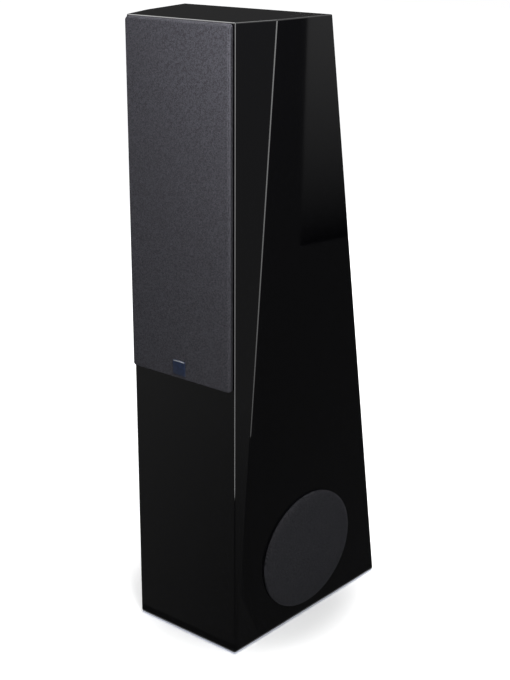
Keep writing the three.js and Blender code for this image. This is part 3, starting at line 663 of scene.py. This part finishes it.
def tweeter():
    """Faceplate with a shallow horn, metal dome with its rim, and motor."""
    pocket_z, throat, plate_t, hole = -4.2, 14.2, 6, 18.2
    horn, edge = 30, 1.2
    plate = [
        (hole, -plate_t), (TWEETER_R - 0.4, -plate_t), (TWEETER_R, -plate_t + 0.4),
        *arc((TWEETER_R - edge, -edge), edge, 0, 90, 4), (horn, 0),
        *[(horn - 13.5 * f, -2.8 * f ** 2.2) for f in (0.2, 0.4, 0.6, 0.8, 1.0)], (throat, pocket_z),
        (hole, pocket_z)]
    finished("tweeter_faceplate", spun(plate), PLATE_ABS, "cabinet", "tweeter_plate", place=TWEETER_SEAT)
    rim_top, dome_r, dome_h, rim_r, foil = pocket_z - 0.75, 12.7, 4.5, 17.4, 0.4
    fractions = [i / 10 for i in range(1, 10)]
    rises = [(f, math.sqrt(1 - 0.75 * f * f) * 2 - 1) for f in reversed(fractions)]
    crown = [(dome_r * f, rim_top + dome_h * rise) for f, rise in rises]
    under = [(r - 0.1, z - foil) for r, z in reversed(crown)]
    dome = [
        (0, rim_top + dome_h - foil), *under, (dome_r, rim_top - foil), (rim_r, rim_top - foil),
        (rim_r, rim_top),
        (dome_r + 0.2, rim_top), *crown, (0, rim_top + dome_h)]
    finished("tweeter_metal_dome", spun(dome, False), TITANIUM, "tweeter_dome", "tweeter_dome",
             place=TWEETER_SEAT)
    motor = [(0, -28.3), (34.5, -28.3), (36, -26.8), (36, -8), (35, -6.3), (0, -6.3)]
    finished("tweeter_motor", spun(motor, False), FERRITE, "cabinet", "tweeter_magnet", place=TWEETER_SEAT)
    finished("tweeter_screws", screw_circle(4, 45.5), SCREW_STEEL, "cabinet", place=TWEETER_SEAT)


# ---- grilles ---------------------------------------------------------------------------


def rounded_slab(low, high, corner, bevel, bevel_t):
    """A slab in front of the baffle with round corners and a sloping rim, open at the back."""
    size = high - low
    bm = brick((low + high) / 2, size)
    rounded(bm, edges_along(bm, 1, 0.5 * size.y), corner, 6)
    face = [f for f in bm.faces if f.normal.y < -0.9]
    shrink = bmesh.ops.inset_region(bm, faces=face, thickness=bevel, use_even_offset=True)
    for ring in shrink["faces"]:
        for vert in ring.verts:
            if all(f.normal.y < -0.9 for f in vert.link_faces):
                continue
            if vert.co.y < low.y + 1e-6:
                vert.co.y = low.y + bevel_t
    return bm


def front_grille():
    """Cloth stretched over the frame: flat face, soft sloping rim, wrapped sides."""
    low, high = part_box("grille_cloth")
    cloth_t = 1.2 * MM
    bm = rounded_slab(low, high, corner=7 * MM, bevel=3 * MM, bevel_t=5 * MM)
    back = [f for f in bm.faces if f.normal.y > 0.9]
    bmesh.ops.delete(bm, geom=back, context="FACES")
    rims = [e for e in bm.edges if not e.is_boundary and e.calc_face_angle(0) > math.radians(15)
            and abs(e.verts[0].co.y - e.verts[1].co.y) < 1e-5]
    rounded(bm, rims, 1.2 * MM)
    bmesh.ops.recalc_face_normals(bm, faces=bm.faces)
    bmesh.ops.solidify(bm, geom=bm.faces[:], thickness=cloth_t)
    finished("grille_cloth_wrap", bm, CLOTH_FRONT, "front_grille", "grille_cloth", sharp=50)


def badge():
    """A bare dark blue plate with one silver line near its top."""
    low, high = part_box("badge_plate")
    depth = high.y - low.y

    def slab(left, right, bottom, top, front, back, edge):
        """A block between six faces, its edges rounded."""
        centre = Vector(((left + right) / 2, (front + back) / 2, (bottom + top) / 2))
        bm = brick(centre, Vector((right - left, back - front, top - bottom)))
        rounded(bm, bm.edges[:], edge)
        return bm

    plate = slab(low.x, high.x, low.z, high.z, low.y + 0.3 * depth, high.y, 0.25 * MM)
    finished("badge_enamel_plate", plate, BADGE_ENAMEL, "front_grille", "badge_plate")
    inset, line_foot, line_top = 1.5 * MM, high.z - 2.6 * MM, high.z - 1.0 * MM
    line = slab(low.x + inset, high.x - inset, line_foot, line_top, low.y, low.y + 0.4 * depth, 0.12 * MM)
    finished("badge_silver_line", line, SILVER, "front_grille")


def disc_grille(side, outward):
    """Round cloth grille: slightly domed face, sloping shoulder, upright rim."""
    crown, shoulder, shoulder_r, edge, radius, base, cloth = 12.5, 9.0, 109.5, 5.5, 115.0, 0.8, 1.2
    place = seat(f"disc_cloth_{side}", outward) @ Matrix.Translation((0, 0, -crown * MM))
    fractions = [i / 12 for i in range(1, 12)]
    top = [(shoulder_r * f, shoulder + (crown - shoulder) * (1 - f * f)) for f in reversed(fractions)]
    under = [(r, z - cloth) for r, z in reversed(top)]
    outline = [
        (0, crown - cloth), *under, (shoulder_r - 0.8, shoulder - cloth), (radius - cloth, edge - 0.7),
        (radius - cloth, base), (radius, base), (radius, edge - 0.8), (radius - 0.3, edge),
        (radius - 1.0, edge + 0.7), (shoulder_r + 0.9, shoulder - 0.6), (shoulder_r, shoulder - 0.05), *top,
        (0, crown)]
    finished(f"disc_cloth_wrap_{side}", spun(outline, False, 128), CLOTH_DISC_SHADED, f"disc_grille_{side}",
             f"disc_cloth_{side}", sharp=50, place=place)


# ---- back ------------------------------------------------------------------------------


PORT_BORE = 38
PORT_OUTER = 41


def port():
    """Moulded port: flat flange, round flare into the bore."""
    face, flange, flare_r, length = 3.3, 62, 14, 140
    place = PORT_SEAT @ Matrix.Translation((0, 0, -face * MM))
    turns = [math.radians(a) for a in range(90, -1, -9)]
    depth = flare_r + face
    flare = [(PORT_BORE + flare_r * (1 - math.cos(t)), -flare_r + depth * math.sin(t)) for t in turns]
    outline = [
        (PORT_BORE, -length), (PORT_OUTER, -length), (PORT_OUTER, 0.3), (flange - 0.5, 0.3), (flange, 0.8),
        (flange, face - 1), (flange - 1, face), *flare]
    finished("port_flare", spun(outline), PORT_ABS, "cabinet", "port_tube", place=place)


POST_X, POST_Y = 22, 19
POST_SPOTS = [(sx * POST_X, sy * POST_Y) for sy in (-1, 1) for sx in (-1, 1)]
POST_HOLE = 3.6
KNOB_RIBS = 18


def terminal_plate():
    """The moulded plate that holds the posts, with its four screws."""
    bm = brick((0, 0, -1.5 * MM), (0.116, 0.092, 0.003))
    rounded(bm, edges_along(bm, 2, 1 * MM), 8 * MM, 8)
    rims = [e for e in bm.edges if e.calc_face_angle(0) > math.radians(60) and e.verts[0].co.z > -0.1 * MM]
    rounded(bm, rims, 0.8 * MM)
    piece = finished("terminal_panel", bm, PLATE_ABS, "cabinet", "terminal_plate", place=TERMINAL_SEAT)
    holes = [moved(bore(POST_HOLE, -8, 8, 32), (x, y, 0)) for x, y in POST_SPOTS]
    cut_away(piece, [placed(hole, TERMINAL_SEAT) for hole in holes])
    heads = [moved(screw_head(), (sx * 50, sy * 38, SCREW_LEVEL)) for sx in (-1, 1) for sy in (-1, 1)]
    finished("terminal_screws", joined(*heads), SCREW_STEEL, "cabinet", place=TERMINAL_SEAT)


def binding_posts():
    """Rods, rings and knobs, in millimetres out from the terminal plate's face.

    Gives the level and the thickness of the links under the rings."""
    collar, collar_t, link_t, washer_t, knob_l = 0.3, 5.0, 1.2, 1.2, 16
    back, nut_t, nut_r, rod_r, grip_r = -3.3, 4, 7, 3, 8.1
    link = collar + collar_t + GLUE
    washer = link + link_t + GLUE
    knob = washer + washer_t + GLUE
    rod_end = 26 + back
    for n, (x, y) in enumerate(POST_SPOTS, 1):
        place = TERMINAL_SEAT @ Matrix.Translation((x * MM, y * MM, 0))
        stem = [
            (0, -25.3), (rod_r - 0.3, -25.3), (rod_r, -25), (rod_r, back - nut_t), (nut_r, back - nut_t),
            (nut_r, back), (rod_r, back), (rod_r, collar), (8.2, collar), (8.5, collar + 0.4),
            (8.5, collar + collar_t - 0.4), (8.2, collar + collar_t), (rod_r, collar + collar_t),
            (rod_r, rod_end - 0.3), (rod_r - 0.3, rod_end), (0, rod_end)]
        finished(f"post_rod_{n}", spun(stem, False, 48), GOLD, "cabinet", f"post_stem_{n}", place=place)
        ring = [
            (3.3, washer), (7.3, washer), (7.5, washer + 0.2), (7.5, washer + washer_t - 0.2),
            (7.3, washer + washer_t), (3.3, washer + washer_t)]
        washer_body, knob_body = f"post_washer_{n}", f"post_knob_{n}"
        finished(f"post_ring_{n}", spun(ring, True, 48), GOLD, washer_body, washer_body, place=place)
        grip = [
            (3.3, knob), (7.6, knob), (grip_r, knob + 0.5), (grip_r, knob + knob_l - 1),
            *arc((grip_r - 1, knob + knob_l - 1), 1.0, 0, 90, 4), (2.1, knob + knob_l), (2.1, rod_end + 0.4),
            (3.3, rod_end + 0.4)]
        ribs = []
        for i in range(KNOB_RIBS):
            turn = Matrix.Rotation(math.tau * i / KNOB_RIBS, 4, "Z")
            rib = brick((grip_r * MM, 0, (knob + 6.5) * MM), (0.7 * MM, 1.2 * MM, 11 * MM))
            ribs.append(placed(rib, turn))
        ribbed = joined(spun(grip, True, 48), *ribs)
        finished(f"post_grip_{n}", ribbed, KNOB_ABS, knob_body, knob_body, place=place)
        low, high = knob + knob_l - 0.09, knob + knob_l + 0.04
        band = [(2.2, low), (6.4, low), (6.4, high), (2.2, high)]
        colour = RED_ABS if x > 0 else KNOB_ABS
        finished(f"post_band_{n}", spun(band, True, 48), colour, knob_body, place=place)
    return link, link_t


def jumper_links(link, link_t):
    """Two gold-plated straps with round ends, each over an upper and a lower post."""
    for side, x in (("left", -POST_X), ("right", POST_X)):
        bm = brick((x * MM, 0, (link + link_t / 2) * MM), (0.013, 0.051, link_t * MM))
        rounded(bm, edges_along(bm, 2, 0.5 * MM), 6.3 * MM, 8)
        piece = finished(f"jumper_strap_{side}", bm, GOLD, "cabinet", f"jumper_link_{side}", place=TERMINAL_SEAT)
        holes = [moved(bore(POST_HOLE, 0, 20, 32), (x, y, 0)) for y in (-POST_Y, POST_Y)]
        cut_away(piece, [placed(hole, TERMINAL_SEAT) for hole in holes])


# ---- inside ----------------------------------------------------------------------------


def wadding():
    """The wadding slab, its corners rounded and its faces drawn in unevenly by up to 4 mm."""
    bm = bmesh.new()
    bm.from_mesh(cad["damping_wadding"].data)
    bmesh.ops.remove_doubles(bm, verts=bm.verts, dist=0.1 * MM)
    bmesh.ops.dissolve_limit(
        bm, angle_limit=math.radians(1), use_dissolve_boundaries=False, verts=bm.verts, edges=bm.edges)
    bmesh.ops.triangulate(bm, faces=bm.faces)
    for _ in range(4):
        bmesh.ops.subdivide_edges(bm, edges=bm.edges[:], cuts=1, use_grid_fill=True)
    for _ in range(3):
        bmesh.ops.smooth_vert(bm, verts=bm.verts, factor=0.5, use_axis_x=True, use_axis_y=True, use_axis_z=True)
    bm.normal_update()
    for vert in bm.verts:
        vert.co -= vert.normal * (2 + 2 * noise.noise(vert.co * 40)) * MM
    bmesh.ops.recalc_face_normals(bm, faces=bm.faces)
    piece = finished("wadding_slab", bm, WADDING, "cabinet", "damping_wadding", sharp=180)


def inner_nodes():
    """CAD nodes whose shape is already right."""
    finishes = {
        "chamber_shelf": BOARD, "window_brace": BOARD, "crossover_board": LAMINATE,
        "crossover_coil_left": COPPER, "crossover_coil_right": COPPER, "crossover_capacitor": FILM, "grille_frame": FRAME_ABS,
        "disc_frame_right": FRAME_ABS, "disc_frame_left": FRAME_ABS,
    }
    for node, material in finishes.items():
        cad[node].data.materials.clear()
        cad[node].data.materials.append(material)


# ---- studio ----------------------------------------------------------------------------


CAMERA_PLACE = (1.1762, -1.6338, 1.3304)
CAMERA_ANGLES = (35.479, 16.926, 0.369)  # yaw from straight on, pitch down and roll, in degrees
LENS, SENSOR, SHIFT_Y = 60.77, 36, -0.14


def camera():
    """A long lens from the front right, above the cabinet's top and looking down a little."""
    data = bpy.data.cameras.new("camera")
    data.lens, data.sensor_width, data.shift_y = LENS, SENSOR, SHIFT_Y
    data.clip_end = 50
    made = bpy.data.objects.new("camera", data)
    bpy.context.scene.collection.objects.link(made)
    yaw, pitch, roll = (math.radians(a) for a in CAMERA_ANGLES)
    back = Vector((math.sin(yaw) * math.cos(pitch), -math.cos(yaw) * math.cos(pitch), math.sin(pitch)))
    right = (-back).cross(Vector((0, 0, 1))).normalized()
    up = right.cross(-back)
    tilted = right * math.cos(roll) + up * math.sin(roll)
    above = up * math.cos(roll) - right * math.sin(roll)
    turn = Matrix((tilted, above, back)).transposed().to_4x4()
    made.matrix_world = Matrix.Translation(CAMERA_PLACE) @ turn
    bpy.context.scene.camera = made


def softbox(name, place, target, width, height, power):
    """A white area light aimed at a target, sizes in metres and power in watts."""
    data = bpy.data.lights.new(name, "AREA")
    data.shape, data.size, data.size_y = "RECTANGLE", width, height
    data.energy = power
    lamp = bpy.data.objects.new(name, data)
    lamp.visible_camera = False
    bpy.context.scene.collection.objects.link(lamp)
    lamp.location = place
    lamp.rotation_euler = (Vector(target) - Vector(place)).to_track_quat("-Z", "Y").to_euler()


def seen_directly(tree, unseen, seen):
    """Camera, glossy and transmission rays meet the seen shader, and all others the unseen one."""
    path = add_node(tree, "ShaderNodeLightPath").outputs
    mask = path["Is Camera Ray"]
    for kind in ("Is Glossy Ray", "Is Transmission Ray"):
        mask = add_node(tree, "ShaderNodeMath", {0: mask, 1: path[kind]}, operation="MAXIMUM").outputs[0]
    return add_node(tree, "ShaderNodeMixShader", {0: mask, 1: unseen, 2: seen}).outputs[0]


def world():
    """Plain white where it is seen, and a faint cool light on everything else."""
    made = bpy.data.worlds.new("studio")
    made.use_nodes = True
    tree = made.node_tree
    tree.nodes.clear()
    soft = add_node(tree, "ShaderNodeBackground", {"Color": linear("#e8ebf0"), "Strength": 0.1})
    white = add_node(tree, "ShaderNodeBackground", {"Color": linear("#ffffff"), "Strength": 1.0})
    add_node(tree, "ShaderNodeOutputWorld", {"Surface": seen_directly(tree, soft.outputs[0], white.outputs[0])})
    bpy.context.scene.world = made


def floor():
    """A white floor brightened by its own emission, which is weaker close to the cabinet: the lamps' soft shadow
    shows there, and the weaker emission adds painted shade round the base.
    """
    bm = bmesh.new()
    bmesh.ops.create_grid(bm, x_segments=1, y_segments=1, size=12)
    material, tree, shader, place = new_material("floor_paper", "#f4f4f4", 0.9, Specular_IOR_Level=0.0)
    tinted(tree, shader, speckle(tree, place, 0.4, 2.0), "#f2f2f2", "#f6f6f6")
    away = add_node(tree, "ShaderNodeVectorMath", {0: place}, operation="LENGTH").outputs["Value"]
    # painted light and shade: the floor's emission rises from 0.35 beside the cabinet to 1.0 further out, so the
    # floor is painted darker round the base
    glow = add_node(tree, "ShaderNodeMapRange", {
        "Value": away, "From Min": 0.16, "From Max": 0.3, "To Min": 0.35, "To Max": 1.0},
        interpolation_type="SMOOTHSTEP")
    shader.inputs["Emission Color"].default_value = linear("#ffffff")
    tree.links.new(glow.outputs[0], shader.inputs["Emission Strength"])
    output = next(n for n in tree.nodes if n.type == "OUTPUT_MATERIAL")
    dim = add_node(tree, "ShaderNodeBsdfDiffuse", {"Color": linear("#f4f4f4")})
    tree.links.new(seen_directly(tree, dim.outputs[0], shader.outputs[0]), output.inputs["Surface"])
    added("floor", bm, material)


def card(name, place, target, width, height, low, high, turn=0.0):
    """A studio card seen only in glossy surfaces: its light runs from low at its foot to high at its top."""
    bm = bmesh.new()
    size = Matrix.Diagonal((width, height, 1, 1))
    bmesh.ops.create_grid(bm, x_segments=1, y_segments=1, size=0.5, matrix=size)
    material = bpy.data.materials.new(name)
    material.use_nodes = True
    tree = material.node_tree
    tree.nodes.clear()
    along = add_node(tree, "ShaderNodeSeparateXYZ", {
        "Vector": add_node(tree, "ShaderNodeTexCoord").outputs["Object"]}).outputs["Y"]
    level = add_node(tree, "ShaderNodeMapRange", {
        "Value": along, "From Min": -height / 2, "From Max": height / 2, "To Min": low, "To Max": high})
    glow = add_node(tree, "ShaderNodeEmission", {"Color": linear("#ffffff"), "Strength": level.outputs[0]})
    add_node(tree, "ShaderNodeOutputMaterial", {"Surface": glow.outputs[0]})
    made = added(name, bm, material)
    aim = (Vector(target) - Vector(place)).to_track_quat("-Z", "Y").to_matrix().to_4x4()
    made.matrix_world = Matrix.Translation(place) @ aim @ Matrix.Rotation(turn, 4, "Z")
    made.visible_camera = made.visible_diffuse = made.visible_shadow = False
    made.visible_transmission = made.visible_volume_scatter = False


def studio():
    """Camera, lights and the cards that the lacquer reflects. Positions are in metres."""
    camera()
    world()
    floor()
    softbox("key", (0.54, -0.58, 1.5), (0.06, -0.2, 1.02), 0.25, 0.25, 9.5)
    softbox("fill", (-1.8, -1.6, 1.6), (0, 0, 0.6), 1.2, 1.6, 1)
    softbox("overhead", (0.2, 0.6, 2.9), (0, 0, 1.1), 1.4, 1.4, 14)
    softbox("back", (-0.9, 2.4, 1.3), (0, 0.2, 0.35), 1.0, 1.0, 22)
    card("black_ground", (0, 0, 0.0095), (0, 0, -1), 23.9, 23.9, 0.05, 0.05)
    card("front_ground", (-0.55, -0.76, 0.0105), (-0.55, -0.76, -1), 1.1, 1.7, 0.05, 0.28, math.pi / 2)
    card("cheek_ground", (0.64, -0.06, 0.0105), (0.64, -0.06, -1), 0.2, 1.05, 0.06, 0.17, math.radians(19 - 90))
    card("cheek_card", (1.12, 0.14, 0.56), (0.12, -0.17, 0.56), 0.3, 1.1, 0.17, 0.15)
    card("black_flag", (-0.85, 1.15, 1.3), (0, 0, 1.2), 2.2, 0.9, 0.03, 0.05)
    card("crease_strip", (0.836, 0.258, 0.56), (0.13, -0.13, 0.56), 0.125, 1.1, 1.2, 4.5)
    card("facet_card", (1.32, 1.16, 0.75), (0, 1.16, 0.75), 0.56, 0.95, 0.0, 0.55)
    card("edge_card", (0.435, -0.64, 0.56), (0.11, -0.2, 0.56), 0.45, 1.1, 5.0, 7.0)
    card("top_edge_card", (-0.8, -0.4, 2.3), (0, -0.2, 1.14), 1.3, 1.3, 9.0, 9.0)
    bpy.context.scene.view_settings.view_transform = "Standard"


studio()
cabinet()
plinth()
foot_pads()
for unit, place in MIDRANGE_SEATS.items():
    cone_driver(f"midrange_{unit}", MIDRANGE, place, f"midrange_cone_{unit}")
for side, place in WOOFER_SEATS.items():
    cone_driver(f"woofer_{side}", WOOFER, place, f"woofer_cone_{side}")
    disc_grille(side, SIDES[side])
tweeter()
front_grille()
badge()
port()
terminal_plate()
jumper_links(*binding_posts())
wadding()
inner_nodes()
